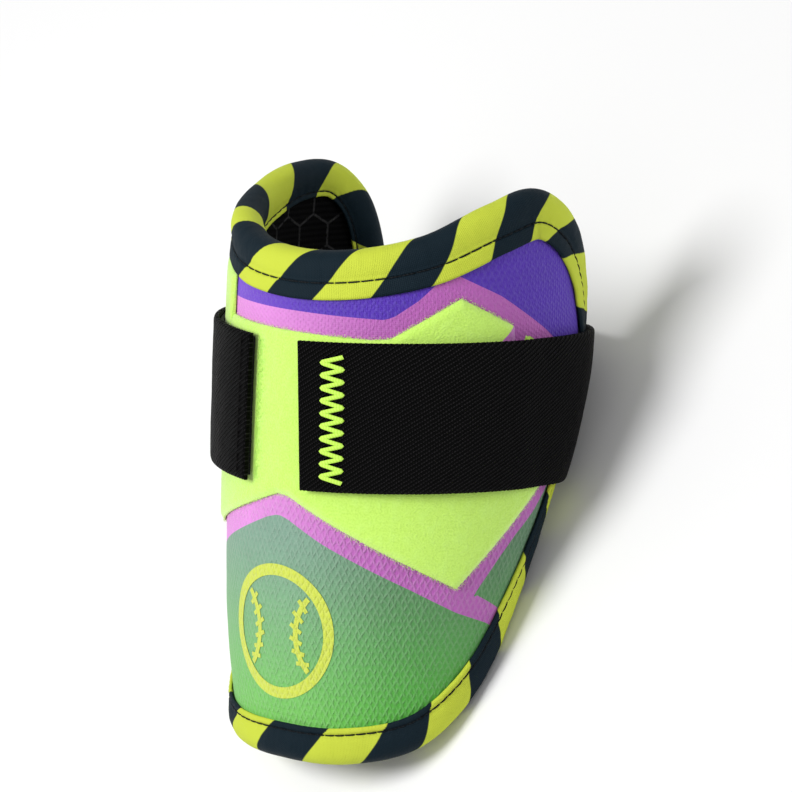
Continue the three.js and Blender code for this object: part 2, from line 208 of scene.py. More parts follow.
def closed_curve(points, count):
    """Smooth closed curve through flat points, as evenly spaced places and directions out."""
    p0, p1, p2, p3 = (np.roll(points, shift, 0) for shift in (1, 0, -1, -2))
    pairs = ((p0, p1), (p1, p2), (p2, p3))
    d0, d1, d2 = (np.sqrt(np.linalg.norm(b - a, axis=1))[:, None] for a, b in pairs)
    leave = ((p1 - p0) / d0 - (p2 - p0) / (d0 + d1) + (p2 - p1) / d1) * d1
    reach = ((p2 - p1) / d1 - (p3 - p1) / (d1 + d2) + (p3 - p2) / d2) * d1
    bend = 3 * (p2 - p1) - 2 * leave - reach
    twist = 2 * (p1 - p2) + leave + reach
    t = (np.arange(CURVE_STEPS) / CURVE_STEPS)[:, None, None]
    curve = p1 + leave * t + bend * t**2 + twist * t**3
    curve = curve.transpose(1, 0, 2).reshape(-1, 2)
    closed = np.vstack([curve, curve[:1]])
    run = run_along(closed)
    places = places_at(np.arange(count) / count * run[-1], run, closed)
    heading = unit(np.roll(places, -1, 0) - np.roll(places, 1, 0))
    return places, np.column_stack([-heading[:, 1], heading[:, 0]]), run[-1]


# Surface of the guard

def sections(along):
    """Narrowing, rise and curl at lengths along the pad, on smooth curves through SECTIONS."""
    at, value = SECTIONS[:, 0], SECTIONS[:, 1:].T
    before = np.maximum(np.arange(len(at)) - 1, 0)
    after = np.minimum(np.arange(len(at)) + 1, len(at) - 1)
    slope = (value[:, after] - value[:, before]) / (at[after] - at[before])
    place = np.clip(along / PAD_LENGTH, at[0], at[-1])
    i = np.clip(np.searchsorted(at, place), 1, len(at) - 1)
    span = at[i] - at[i - 1]
    t = (place - at[i - 1]) / span
    stays = (1 + 2 * t) * (1 - t) ** 2
    bend = t * (1 - t) ** 2 * span * slope[:, i - 1] - t**2 * (1 - t) * span * slope[:, i]
    return stays * value[:, i - 1] + (1 - stays) * value[:, i] + bend


def across_of(side):
    return np.radians(side) * MEAN_RADIUS


def side_of(across):
    return np.degrees(across / MEAN_RADIUS)


EDGE_CONTROLS = np.array([(across_of(side), share * PAD_LENGTH) for side, share in OUTLINE])
EDGE_AT, EDGE_OUT, EDGE_RUN = closed_curve(EDGE_CONTROLS, EDGE_POINTS)


def measured_inside(flat):
    """Distance of flat points inside the pad's edge, negative beyond it."""
    near, _ = nearest(flat, EDGE_AT)
    return ((EDGE_AT[near] - flat) * EDGE_OUT[near]).sum(1)


FIELD_STEP = 0.8
FIELD_MARGIN = 12.0
FIELD_LOW = EDGE_AT.min(0) - FIELD_MARGIN
FIELD_SHAPE = np.ceil((EDGE_AT.max(0) + FIELD_MARGIN - FIELD_LOW) / FIELD_STEP).astype(int) + 1
FIELD_CELLS = np.stack(np.indices(FIELD_SHAPE), 2).reshape(-1, 2)
FIELD = measured_inside(FIELD_LOW + FIELD_CELLS * FIELD_STEP).reshape(FIELD_SHAPE)


def inside_edge(flat):
    """The same distance, read from a fine grid of it."""
    place = np.clip((flat - FIELD_LOW) / FIELD_STEP, 0, FIELD_SHAPE - 1.001)
    i, j = place.astype(int).T
    a, b = (place - np.floor(place)).T
    low = FIELD[i, j] * (1 - b) + FIELD[i, j + 1] * b
    high = FIELD[i + 1, j] * (1 - b) + FIELD[i + 1, j + 1] * b
    return low * (1 - a) + high * a


def face_point(across, along):
    """Points of the pad's outer face, which curls in near the edge."""
    nearness = np.maximum(1 - inside_edge(np.column_stack([across, along])) / CURL_REACH, 0)
    narrowing, rise, curl = sections(along)
    radius = UPPER_RADIUS - narrowing * (UPPER_RADIUS - WRIST_RADIUS)
    radius -= EDGE_CURL * curl * nearness**2
    angle = across / MEAN_RADIUS
    height = CENTRE_RISE * rise + radius * np.cos(angle)
    return np.column_stack([radius * np.sin(angle), along, height])


def guard_point(across, along, lift):
    """Points of the guard at flat places and lifts off the pad's outer face."""
    grids = np.broadcast_arrays(across, along, lift)
    across, along, lift = (np.ravel(grid).astype(float) for grid in grids)
    step = 0.5
    round_way = face_point(across + step, along) - face_point(across - step, along)
    arm_way = face_point(across, along + step) - face_point(across, along - step)
    return face_point(across, along) + unit(np.cross(round_way, arm_way)) * lift[:, None]


def edge_of(rows, side):
    """Length along the pad of one of the tables' edges at an angle from the spine."""
    return PAD_LENGTH * np.interp(side, [row[0] for row in rows], [row[1] for row in rows])


def inset_edge(inset):
    """The pad's edge moved in by a length, or by one for each of its points."""
    return EDGE_AT - EDGE_OUT * np.reshape(inset, (-1, 1))


def binding_width(along):
    t = np.clip((along / PAD_LENGTH - 0.35) / 0.5, 0, 1)
    return LOW_BINDING_WIDTH + t * t * (3 - 2 * t) * (TOP_BINDING_WIDTH - LOW_BINDING_WIDTH)


def wobble(x, y, length, seed):
    """Slow even unevenness between -1 and 1 over about a length."""
    k = 2 * math.pi / length
    return (
        np.sin(k * x + 1.7 * seed) * np.sin(0.83 * k * y + 2.3 + seed)
        + 0.6 * np.sin(1.9 * k * x - 0.7 * k * y + 4.1 * seed)
        + 0.4 * np.sin(0.6 * k * x + 2.7 * k * y + 0.9 * seed)
    ) / 2


# Where the guard lies: pitched back on its strap, as the strap's face in the record says

def free_heights():
    """Height of the strap's free stretch at its two edges, clear of both of the guard's rims."""
    levels = np.linspace(STRAP_START, STRAP_END, 5)
    noses = []
    for along in levels:
        sides = np.array(edge_angles(along))
        nose = guard_point(across_of(sides), along, LINING_FACE / 2)[:, 2]
        noses.append(nose.min() - (STRAP_LIFT - LINING_FACE / 2))
    slope = (noses[-1] - noses[0]) / STRAP_WIDTH
    run = noses[0] + slope * (levels - STRAP_START)
    drop = (np.array(noses) - run).min()
    return slope, noses[0] + drop


def edge_angles(along):
    """The two angles from the spine where the pad's edge crosses a length along it."""
    low, high = span_at(EDGE_AT[:, ::-1], [along])
    return side_of(low[0]), side_of(high[0])


FREE_SLOPE, FREE_START = free_heights()
_, DOWN_Y, DOWN_Z = frame["record"]["mounts"][0]["axis"]
REST_PITCH = math.atan2(DOWN_Z, DOWN_Y) - math.atan2(-1, FREE_SLOPE)
TURN = np.array(Matrix.Rotation(REST_PITCH, 3, "X"))


def pad_columns(count):
    edge = inset_edge(EDGE_SETBACK)
    share = (1 - np.cos(np.pi * np.arange(1, count) / count)) / 2
    across = edge[:, 0].min() + share * np.ptp(edge[:, 0])
    return across, *span_at(edge, across)


def column_grid(columns, rows):
    """Flat places of a grid from each column's low to its high end."""
    across, low, high = columns
    share = np.linspace(0, 1, rows + 1)
    return np.repeat(across, rows + 1), (low[:, None] + (high - low)[:, None] * share).ravel()


def pad_offset():
    """How far the pad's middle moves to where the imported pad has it."""
    columns, rows = CAD_PAD_GRID
    flat = column_grid(pad_columns(columns), rows)
    both = np.vstack([guard_point(*flat, 0), guard_point(*flat, -PAD_THICKNESS)]) @ TURN.T
    low, high = (np.array(corner) * 1000 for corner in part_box("pad"))
    return (low + high) / 2 - (both.min(0) + both.max(0)) / 2


OFFSET = pad_offset()


def in_place(points):
    """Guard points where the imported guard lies, in metres."""
    return (points @ TURN.T + OFFSET) / 1000


# Meshes

def placed(name, data):
    made = bpy.data.objects.new(name, data)
    bpy.context.scene.collection.objects.link(made)
    return made


def piece(name, points, faces, material, cloth, extra=(), replaces=(), sharp=40):
    """A piece from guard points, with places on its cloth, in millimetres. These and the extra
    ones are vectors for each point, or else for each corner."""
    mesh = bpy.data.meshes.new(name)
    faces = faces.tolist() if isinstance(faces, np.ndarray) else faces
    mesh.from_pydata(in_place(points).tolist(), [], faces)
    for label, values in [("cloth", cloth), *extra]:
        domain = "CORNER" if len(values) == len(mesh.loops) else "POINT"
        written = mesh.attributes.new(label, "FLOAT_VECTOR", domain)
        written.data.foreach_set("vector", np.ravel(values))
    mesh.polygons.foreach_set("use_smooth", [True] * len(mesh.polygons))
    mesh.set_sharp_from_angle(angle=math.radians(sharp))
    mesh.materials.append(material)
    made = placed(name, mesh)
    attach(made, "root")
    if replaces:
        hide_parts(*replaces)
    return made


def slab(name, outer, inner, each, material, cloth, replaces, extra=(), sharp=40):
    """A closed sheet between two grids, with each points in a row and the same cloth on both."""
    return piece(
        name,
        np.vstack([outer, inner]),
        slab_faces(len(outer) // each, each),
        material,
        np.vstack([cloth, cloth]),
        [(label, np.vstack([values, values])) for label, values in extra],
        [replaces],
        sharp,
    )


def vectors(*columns):
    """Columns of numbers as vectors, with zeros for what isn't given."""
    return np.column_stack([*columns, *[columns[0] * 0] * (3 - len(columns))])


def grid_quads(rows, columns, closed_rows=False, closed_columns=False):
    """Quads over a grid of points, row by row, with the first grid's faces outwards."""
    i = np.arange(rows if closed_rows else rows - 1)
    j = np.arange(columns if closed_columns else columns - 1)
    i, j = (a.ravel() for a in np.meshgrid(i, j, indexing="ij"))
    near, far = i * columns, (i + 1) % rows * columns
    k = (j + 1) % columns
    return np.column_stack([near + j, far + j, far + k, near + k])


def slab_faces(rows, columns):
    """Faces of a closed slab between an outer and an inner grid of points."""
    count = rows * columns
    outer = grid_quads(rows, columns)
    top = np.arange(count).reshape(rows, columns)
    rim = np.r_[top[:, 0], top[-1, 1:], top[-2::-1, -1], top[0, -2:0:-1]]
    ahead = np.roll(rim, -1)
    walls = np.column_stack([ahead, rim, rim + count, ahead + count])
    return np.vstack([outer, outer[:, ::-1] + count, walls])


def tube_points(path, up, wide, high, sides):
    """Rings of points round a path, with flat ends, and the tube's faces."""
    heading = unit(np.gradient(path, axis=0))
    aside = unit(np.cross(heading, up))
    over = np.cross(aside, heading)
    turn = (2 * math.pi * np.arange(sides) / sides)[:, None]
    ring = wide * np.cos(turn) * aside[:, None] + high * np.sin(turn) * over[:, None]
    points = (path[:, None] + ring).reshape(-1, 3)
    faces = grid_quads(len(path), sides, closed_columns=True)[:, ::-1].tolist()
    last = list(range(len(points) - sides, len(points)))
    return points, [*faces, list(range(sides)), last[::-1]]


def joined(parts):
    """Many small meshes as one list of points and faces."""
    points, faces, count = [], [], 0
    for some, quads in parts:
        points.append(some)
        faces += [[k + count for k in face] for face in quads]
        count += len(some)
    return np.vstack(points), faces


# Node materials

COLOUR_A = 6
COLOUR_B = 7
MIXED_COLOUR = 2


class Cloth:
    """A cloth's node material, with its sums written as plain Python."""

    def __init__(self, name, roughness, sheen=0.0, sheen_roughness=0.5, specular=0.3):
        self.material = bpy.data.materials.new(name)
        self.material.use_nodes = True
        self.tree = self.material.node_tree
        self.shader = self.tree.nodes["Principled BSDF"]
        self.dress("Roughness", roughness)
        self.dress("Sheen Weight", sheen)
        self.dress("Sheen Roughness", sheen_roughness)
        self.dress("Specular IOR Level", specular)

    def feed(self, socket, value):
        if isinstance(value, Sum):
            value = value.socket
        if isinstance(value, bpy.types.NodeSocket):
            self.tree.links.new(value, socket)
        elif socket.type == "RGBA":
            socket.default_value = (*value, 1)
        else:
            socket.default_value = value

    def dress(self, name, value):
        self.feed(self.shader.inputs[name], value)

    def node(self, kind, inputs=(), **settings):
        """A node, with its settings and with its inputs fed by their names or places."""
        made = self.tree.nodes.new(kind)
        for name, value in settings.items():
            setattr(made, name, value)
        for name, value in dict(inputs).items():
            self.feed(made.inputs[name], value)
        return made

    def math(self, operation, *values):
        made = self.node("ShaderNodeMath", enumerate(values), operation=operation)
        return Sum(self, made.outputs[0])

    def place(self, label="cloth"):
        """The three numbers of a vector attribute."""
        found = self.node("ShaderNodeAttribute", attribute_name=label)
        apart = self.node("ShaderNodeSeparateXYZ", {0: found.outputs["Vector"]})
        return [Sum(self, socket) for socket in apart.outputs]

    def noise(self, across, along, size, detail=2.0, stretch=1.0):
        joint = self.node("ShaderNodeCombineXYZ", {0: across / size, 1: along / (size * stretch)})
        inputs = {"Vector": joint.outputs[0], "Scale": 1.0, "Detail": detail}
        return Sum(self, self.node("ShaderNodeTexNoise", inputs).outputs["Fac"])

    def mix(self, share, first, second):
        """A mix of two colours, which have the last two of the node's inputs."""
        inputs = {"Factor": share, COLOUR_A: first, COLOUR_B: second}
        return self.node("ShaderNodeMix", inputs, data_type="RGBA").outputs[MIXED_COLOUR]

    def colour(self, value):
        self.dress("Base Color", value)

    def relief(self, height, depth):
        """Bump of a height from 0 to 1 over a depth in millimetres."""
        made = self.node("ShaderNodeBump", {"Distance": depth / 1000, "Height": height})
        self.dress("Normal", made.outputs["Normal"])


class Sum:
    """A number in a material that takes part in plain sums."""

    def __init__(self, cloth, socket):
        self.cloth = cloth
        self.socket = socket

    def __add__(self, other):
        return self.cloth.math("ADD", self, other)

    def __sub__(self, other):
        return self.cloth.math("SUBTRACT", self, other)

    def __rsub__(self, other):
        return self.cloth.math("SUBTRACT", other, self)

    def __mul__(self, other):
        return self.cloth.math("MULTIPLY", self, other)

    def __truediv__(self, number):
        return self * (1 / number)

    def wave(self):
        """A smooth wave from 0 to 1 for each whole number passed."""
        return self.cloth.math("SINE", self * (2 * math.pi)) * 0.5 + 0.5

    def ridge(self):
        """A straight wave from 0, at whole numbers, to 1 half way between them."""
        return self.cloth.math("PINGPONG", self, 0.5) * 2

    def least(self, other):
        return self.cloth.math("MINIMUM", self, other)

    def most(self, other):
        return self.cloth.math("MAXIMUM", self, other)

    def size(self):
        return self.cloth.math("ABSOLUTE", self)

    def over(self, start, end):
        """0 below start, 1 above end, smooth between."""
        inputs = {"Value": self, "From Min": start, "From Max": end}
        made = self.cloth.node("ShaderNodeMapRange", inputs, interpolation_type="SMOOTHSTEP")
        return Sum(self.cloth, made.outputs[0])

    def past(self, blur):
        """0 on one side of zero and 1 on the other, over a narrow blur."""
        return self.over(-blur, blur)


# Colours, some with a darker copy for the guard's right side: painted shade, as the light falls
# from the left
NEON = (0.58, 0.9, 0.13)
NEON_DEEP = (0.48, 0.8, 0.08)
YELLOW = (0.56, 0.65, 0.06)
YELLOW_DEEP = (0.49, 0.57, 0.035)
NAVY = (0.0035, 0.01, 0.016)
NAVY_LIGHT = (0.01, 0.026, 0.038)
PURPLE = (0.19, 0.07, 0.61)
PURPLE_PAINTED_SHADE = (0.075, 0.019, 0.41)
PINK = (0.73, 0.26, 0.7)
PINK_PAINTED_SHADE = (0.45, 0.11, 0.44)
GREEN_HIGH = (0.19, 0.33, 0.25)
GREEN_LOW = (0.16, 0.53, 0.08)
GREEN_HIGH_PAINTED_SHADE = (0.088, 0.2, 0.105)
GREEN_LOW_PAINTED_SHADE = (0.075, 0.42, 0.03)
LINING_DEEP = (0.0012, 0.0012, 0.0014)
LINING_RIB = (0.006, 0.006, 0.0066)
# The strap's black, darkened to painted shade in the gaps between its ribs, and a painted highlight
# on the ribs' tops
STRAP_GAP_SHADE = (0.0003, 0.0003, 0.0003)
STRAP_RIB_HIGHLIGHT = (0.022, 0.0205, 0.0225)
# Between which places across, from the spine, the colours turn to their painted shade on the right
# side
PINK_SHADE_TURN = (-18.0, 34.0)
PURPLE_SHADE_TURN = (-30.0, 16.0)
GREEN_SHADE_TURN = (2.0, 42.0)
# Between which shares of the pad's length the green pales, and the net gives way to pebbles
GREEN_FADE = (0.0, 0.43)
NET_FADE = (0.5, 0.72)
PRINT_BLUR = 0.06
PILE_BLUR = 0.1
STRIPE_BLUR = 0.015
# The pressed net's diamonds and the lining's hexagons
NET_ACROSS = 1.75
NET_ALONG = 3.3
HEXAGON_SIZE = 10.5
HEXAGON_LINE = (0.455, 0.485)


def net_relief(cloth, across, along):
    """Raised net of diamonds pressed into the cover, and its fine knit."""
    uneven = cloth.noise(across, along, 2.6) * 0.6
    first = (across / NET_ACROSS + along / NET_ALONG + uneven).ridge()
    second = (across / NET_ACROSS - along / NET_ALONG + uneven).ridge()
    broken = cloth.noise(across, along, 1.7).over(0.3, 0.65)
    high = (along / PAD_LENGTH).over(*NET_FADE)
    net = (1 - first.least(second).over(0.0, 0.75)) * (broken * 0.65 + 0.35) * (1 - high * 0.7)
    knit = (across * 2.2).wave() * (along * 1.9).wave()
    aslant = (along * 0.8 + across * 0.55 + uneven).wave()
    pebbles = (across * 1.15 + uneven * 2.0).wave() * aslant * high
    return net, net * 0.8 + knit * 0.12 + pebbles * 0.4 + cloth.noise(across, along, 0.8) * 0.15


def cover_cloth():
    cloth = Cloth("cover_cloth", 0.58, sheen=0.1)
    across, along, _ = cloth.place()
    purple, green, slash = cloth.place("print_edges")
    corner, _, _ = cloth.place("print_corner")
    net, height = net_relief(cloth, across, along)
    shade = (along / PAD_LENGTH).over(*GREEN_FADE)
    # Towards the guard's right side the greens, pinks and purples turn to painted shade
    shade_to_right = across.over(*GREEN_SHADE_TURN)
    low = cloth.mix(shade_to_right, GREEN_LOW, GREEN_LOW_PAINTED_SHADE)
    greens = cloth.mix(shade, low, cloth.mix(shade_to_right, GREEN_HIGH, GREEN_HIGH_PAINTED_SHADE))
    pinks = cloth.mix(across.over(*PINK_SHADE_TURN), PINK, PINK_PAINTED_SHADE)
    purples = cloth.mix(across.over(*PURPLE_SHADE_TURN), PURPLE, PURPLE_PAINTED_SHADE)
    colour = cloth.mix(purple.past(PRINT_BLUR), pinks, purples)
    colour = cloth.mix(corner.past(PRINT_BLUR), colour, NEON)
    colour = cloth.mix(slash.most(green).past(PRINT_BLUR), colour, greens)
    patches = cloth.noise(across, along, 9.0, 3.0)
    colour = cloth.mix(patches.over(0.35, 0.75) * 0.06, colour, (0.02, 0.03, 0.02))
    colour = cloth.mix(net * 0.08, colour, (0.8, 0.9, 0.8))
    cloth.colour(colour)
    cloth.relief(height, 0.34)
    return cloth.material


def print_cloth():
    cloth = Cloth("print_cloth", 0.6, sheen=0.25)
    across, along, _ = cloth.place()
    net, height = net_relief(cloth, across, along)
    cloth.colour(cloth.mix(net * 0.14, YELLOW, (0.86, 0.9, 0.4)))
    cloth.relief(height, 0.3)
    return cloth.material


def lining_cloth():
    cloth = Cloth("lining_cloth", 0.85, specular=0.05)
    across, along, _ = cloth.place()
    line = hexagons(cloth, across, along, HEXAGON_SIZE).over(*HEXAGON_LINE)
    line = line * cloth.noise(across, along, 1.4).over(0.3, 0.5)
    rib = (along * 0.62).wave()
    colour = cloth.mix(rib * 0.5, LINING_DEEP, LINING_RIB)
    cloth.colour(cloth.mix(line * 0.5, colour, (0.06, 0.06, 0.062)))
    knit = (across * 1.3 + (along * 1.24).wave() * 0.2).wave()
    cloth.relief(rib * 0.6 + knit * 0.25 + line * 0.5, 0.3)
    return cloth.material


def hexagons(cloth, across, along, size):
    """Distance from the nearest middle of a net of hexagons, as a share of its size."""
    x, y = across / size, along / size
    tall = math.sqrt(3)

    def cell(dx, dy):
        a = cloth.math("FLOORED_MODULO", x + dx, 1.0) - 0.5
        b = cloth.math("FLOORED_MODULO", y + dy, tall) - tall / 2
        a, b = a.size(), b.size()
        return a.most(a * 0.5 + b * (tall / 2))

    return cell(0.0, 0.0).least(cell(0.5, tall / 2))


def loop_cloth():
    cloth = Cloth("loop_cloth", 0.95, sheen=0.6, sheen_roughness=0.6)
    across, along, _ = cloth.place()
    pink, _, _ = cloth.place("print_edges")
    pile = cloth.noise(across, along, 0.5, 3.0)
    tufts = cloth.noise(across, along, 2.2, 2.0, stretch=1.6)
    colour = cloth.mix(pile.over(0.25, 0.7), NEON_DEEP, NEON)
    colour = cloth.mix(tufts.over(0.4, 0.8) * 0.3, colour, (0.6, 0.95, 0.2))
    # The pink turns to its painted shade towards the guard's right side
    pinks = cloth.mix(across.over(*PINK_SHADE_TURN), PINK, PINK_PAINTED_SHADE)
    cloth.colour(cloth.mix(pink.past(PILE_BLUR), colour, pinks))
    cloth.relief(pile * 0.7 + tufts * 0.5, 0.35)
    return cloth.material


def binding_cloth():
    cloth = Cloth("binding_cloth", 0.62, specular=0.09)
    run, over, turns = cloth.place()
    wander = (cloth.noise(run, over, 14.0, 1.0) - 0.5) * 0.05
    stripe = (turns + wander).ridge()
    knit = (run * 2.4).wave() * 0.6 + (over * 1.7 + run * 1.2).wave() * 0.4
    dark = cloth.mix(knit * 0.5, NAVY, NAVY_LIGHT)
    bright = cloth.mix(cloth.noise(run, over, 6.0) * 0.3, YELLOW, YELLOW_DEEP)
    cloth.colour(cloth.mix((stripe - 0.5).past(STRIPE_BLUR), bright, dark))
    folds = cloth.noise(run, over, 3.2, 1.0, stretch=2.6)
    cloth.relief(knit * 0.22 + cloth.noise(run, over, 0.9) * 0.22 + folds * 0.8, 0.5)
    return cloth.material


def strap_cloth():
    cloth = Cloth("strap_cloth", 0.6, specular=0.06)
    run, over, _ = cloth.place()
    uneven = cloth.noise(run, over, 1.4) * 0.4
    ribs = (over * 0.85 - run * 0.55 + uneven).wave()
    picks = (run * 1.5 + over * 0.3 + uneven).wave()
    height = ribs * 0.6 + picks * ribs * 0.5
    lint = cloth.noise(run, over, 0.45, 2.0).over(0.66, 0.8)
    # Painted highlight on the ribs' tops and painted shade in the gaps between them
    colour = cloth.mix(height.over(0.5, 1.05), STRAP_GAP_SHADE, STRAP_RIB_HIGHLIGHT)
    cloth.colour(cloth.mix(lint * 0.2, colour, (0.04, 0.04, 0.042)))
    cloth.relief(height, 1.0)
    return cloth.material


def tab_cloth():
    cloth = Cloth("tab_cloth", 0.8)
    run, over, _ = cloth.place()
    hooks = (run * 1.6).wave() * (over * 1.6).wave()
    cloth.colour(cloth.mix(hooks, (0.006, 0.006, 0.0065), (0.02, 0.02, 0.021)))
    cloth.relief(hooks, 0.3)
    return cloth.material


def thread_cloth(name, colour, light, twist):
    cloth = Cloth(name, 0.7, specular=0.12)
    run, round_, _ = cloth.place()
    ply = (run * twist + round_).wave()
    cloth.colour(cloth.mix(ply.over(0.0, 0.8), colour, light))
    cloth.relief(ply, 0.03)
    return cloth.material


# Pieces

def above_lines(across, along, lines):
    """Least signed distance of places above straight lines, each between two points."""
    found = []
    for side, share, last_side, last_share in lines:
        x0, y0 = across_of(side), share * PAD_LENGTH
        x1, y1 = across_of(last_side), last_share * PAD_LENGTH
        over = (x1 - x0) * (along - y0) - (y1 - y0) * (across - x0)
        found.append(over / math.hypot(x1 - x0, y1 - y0))
    return np.min(found, axis=0)


def cover_swell(across, along):
    return COVER_SWELL * wobble(across, along, 34.0, 1.0)


def make_pad():
    columns, rows = PAD_GRID
    across, along = column_grid(pad_columns(columns), rows)
    side = side_of(across)
    outer = guard_point(across, along, cover_swell(across, along))
    inner = guard_point(across, along, -PAD_THICKNESS)
    purple = along - edge_of(PURPLE_LOWER, side)
    green = edge_of(GREEN_UPPER, side) - along
    slash = np.minimum(along - edge_of(SLASH_LOWER, side), edge_of(SLASH_UPPER, side) - along)
    slash = np.where(side < SLASH_START, -1.0, slash)
    corner = above_lines(across, along, CORNER_EDGES)
    edges = [("print_edges", vectors(purple, green, slash)), ("print_corner", vectors(corner))]
    cloth = vectors(across, along)
    made = slab(
        "padded_cover", outer, inner, rows + 1, cover_cloth(), cloth, "pad", edges
    )


def make_lining():
    columns, rows = LINING_GRID
    across, along = column_grid(pad_columns(columns), rows)
    outer = guard_point(across, along, -PAD_THICKNESS - CLEARANCE)
    inner = guard_point(across, along, LINING_FACE + 0.15 * wobble(across, along, 21.0, 2.0))
    cloth = vectors(across, along)
    slab("lining_cloth", outer, inner, rows + 1, lining_cloth(), cloth, "lining")


def patch_columns():
    """Places across the patch, with one at each of its corners, and its two ends there."""
    edge = inset_edge(binding_width(EDGE_AT[:, 1]) + PATCH_MARGIN)
    least = side_of(edge[:, 0].min() + PATCH_MARGIN)
    ends = sorted({max(row[0], least) for row in PATCH_LOWER + PATCH_UPPER})
    sides = [ends[0]]
    for a, b in zip(ends, ends[1:]):
        sides += list(np.linspace(a, b, math.ceil((b - a) / PATCH_STEP) + 1)[1:])
    sides = np.array(sides)
    low, high = span_at(edge, across_of(sides))
    low = np.maximum(edge_of(PATCH_LOWER, sides), low)
    high = np.minimum(edge_of(PATCH_UPPER, sides), high)
    return across_of(sides), low, high


def patch_border(columns):
    across, low, high = columns
    lower, upper = np.column_stack([across, low]), np.column_stack([across, high])
    ring = np.vstack([lower, upper[::-1], lower[:1]])
    run = run_along(ring)
    return places_at(np.linspace(0, run[-1], BORDER_POINTS)[:-1], run, ring)


def make_patch():
    columns = patch_columns()
    border = patch_border(columns)
    across, along = column_grid(columns, PATCH_ROWS)
    _, depth = nearest(np.column_stack([across, along]), border)
    round_off = np.maximum(1 - depth / PILE_ROUND, 0) ** 2
    rough = np.random.default_rng(11).uniform(-1, 1, len(across))
    pile = 0.05 * rough + 0.05 * wobble(across, along, 3.7, 3.0)
    outer = guard_point(across, along, PATCH_FACE - round_off + pile)
    inner = guard_point(across, along, CLEARANCE)
    edges = [("print_edges", vectors(above_lines(across, along, PATCH_PINK_EDGES)))]
    material = loop_cloth()
    cloth = vectors(across, along)
    slab(
        "loop_patch_pile", outer, inner, PATCH_ROWS + 1, material, cloth,
        "loop_patch", edges, 60,
    )
    make_fuzz(border, material)


def make_fuzz(border, material):
    """Loose hairs of pile round the patch's border and beside the strap's left end."""
    rng = np.random.default_rng(5)
    root = border[rng.integers(0, len(border), BORDER_HAIRS)]
    root = root + rng.normal(0, 0.3, (BORDER_HAIRS, 2))
    bright = above_lines(*root.T, PATCH_PINK_EDGES[:1]) < -0.4
    root = root[bright | (root[:, 1] < PAD_LENGTH * PATCH_PINK_EDGES[1][1])]
    lean = rng.uniform(0, 2 * math.pi, len(root))
    length = rng.uniform(0.15, 0.36, len(root))
    lift = rng.uniform(0.4, 0.8, len(root))
    level = rng.uniform(STRAP_START + 1, STRAP_END - 1, END_HAIRS)
    away = rng.exponential(0.9, END_HAIRS)
    loose = np.column_stack([across_of(left_end_angle(level)) + away, level + STRAP_RISE])
    root = np.vstack([root, loose])
    lean = np.r_[lean, rng.normal(0.4, 0.9, END_HAIRS)]
    length = np.r_[length, rng.uniform(0.5, 1.5, END_HAIRS) / (1 + 0.5 * away)]
    lift = np.r_[lift, np.full(END_HAIRS, PATCH_FACE)]
    step = np.column_stack([np.cos(lean), np.sin(lean)]) * length[:, None]
    aside = np.column_stack([-np.sin(lean), np.cos(lean)]) * HAIR_WIDTH
    rings = []
    for share, rise in HAIR_STATIONS:
        for way in (-1, 1):
            at = root + step * share + aside * way * (1 - 0.6 * share)
            rings.append(guard_point(*at.T, lift + rise * length))
    points = np.stack(rings, 1).reshape(-1, 3)
    first = np.arange(len(root))[:, None] * len(rings)
    faces = np.vstack([first + [k, k + 1, k + 3, k + 2] for k in range(0, len(rings) - 2, 2)])
    cloth = np.repeat(vectors(*root.T), len(rings), 0)
    no_pink = [("print_edges", vectors(np.full(len(points), -1.0)))]
    piece("loop_patch_fuzz", points, faces, material, cloth, no_pink)


# Binding

# Its section, as places out past the pad's edge and lifts off the pad's face
NOSE_SIDE = [
    (-5.4, 1.2), (-4.3, 1.5), (-2.6, 1.62), (-0.9, 1.4), (0.6, 0.6), (1.65, -0.9),
    (2.0, -2.65), (1.65, -4.4), (0.6, -5.95), (-0.9, -6.72), (-2.6, -6.93), (-4.3, -6.8),
    (-5.4, -6.5),
]
CHANNEL = [(-3.2, -5.6), (0.3, -5.6), (0.3, 0.3), (-3.2, 0.3), (-6.4, 0.3)]
STRIPE_SLANT = 0.8
FLANGE_RISE = 1.0
# Stripes once round: length along the edge, and pairs of stripes passed by there
STRIPE_ROWS = [
    (-28.5, -0.25), (11.4, 1.25), (64, 3.25), (76.3, 3.75), (96.3, 4.25), (154, 6.25),
    (186.6, 7.25), (235, 8.75), (289, 10.25), (431, 15.25), (450.5, 15.75), (462.5, 16.25),
    (478, 16.75), (494.6, 17.25), (511.6, 17.75), (521.6, 18.25), (541.2, 18.75),
]
STRIPE_PAIRS = 19


def smooth_open(points, steps):
    """A smooth curve through points, a few steps to each."""
    p = np.vstack([2 * points[0] - points[1], points, 2 * points[-1] - points[-2]])
    t = (np.arange(steps) / steps)[:, None]
    out = []
    for a, b, c, d in zip(p, p[1:], p[2:], p[3:]):
        bend = 2 * a - 5 * b + 4 * c - d
        twist = 3 * b - a - 3 * c + d
        out.append(b + t * (c - a) / 2 + t**2 * bend / 2 + t**3 * twist / 2)
    return np.vstack([*out, points[-1:]])


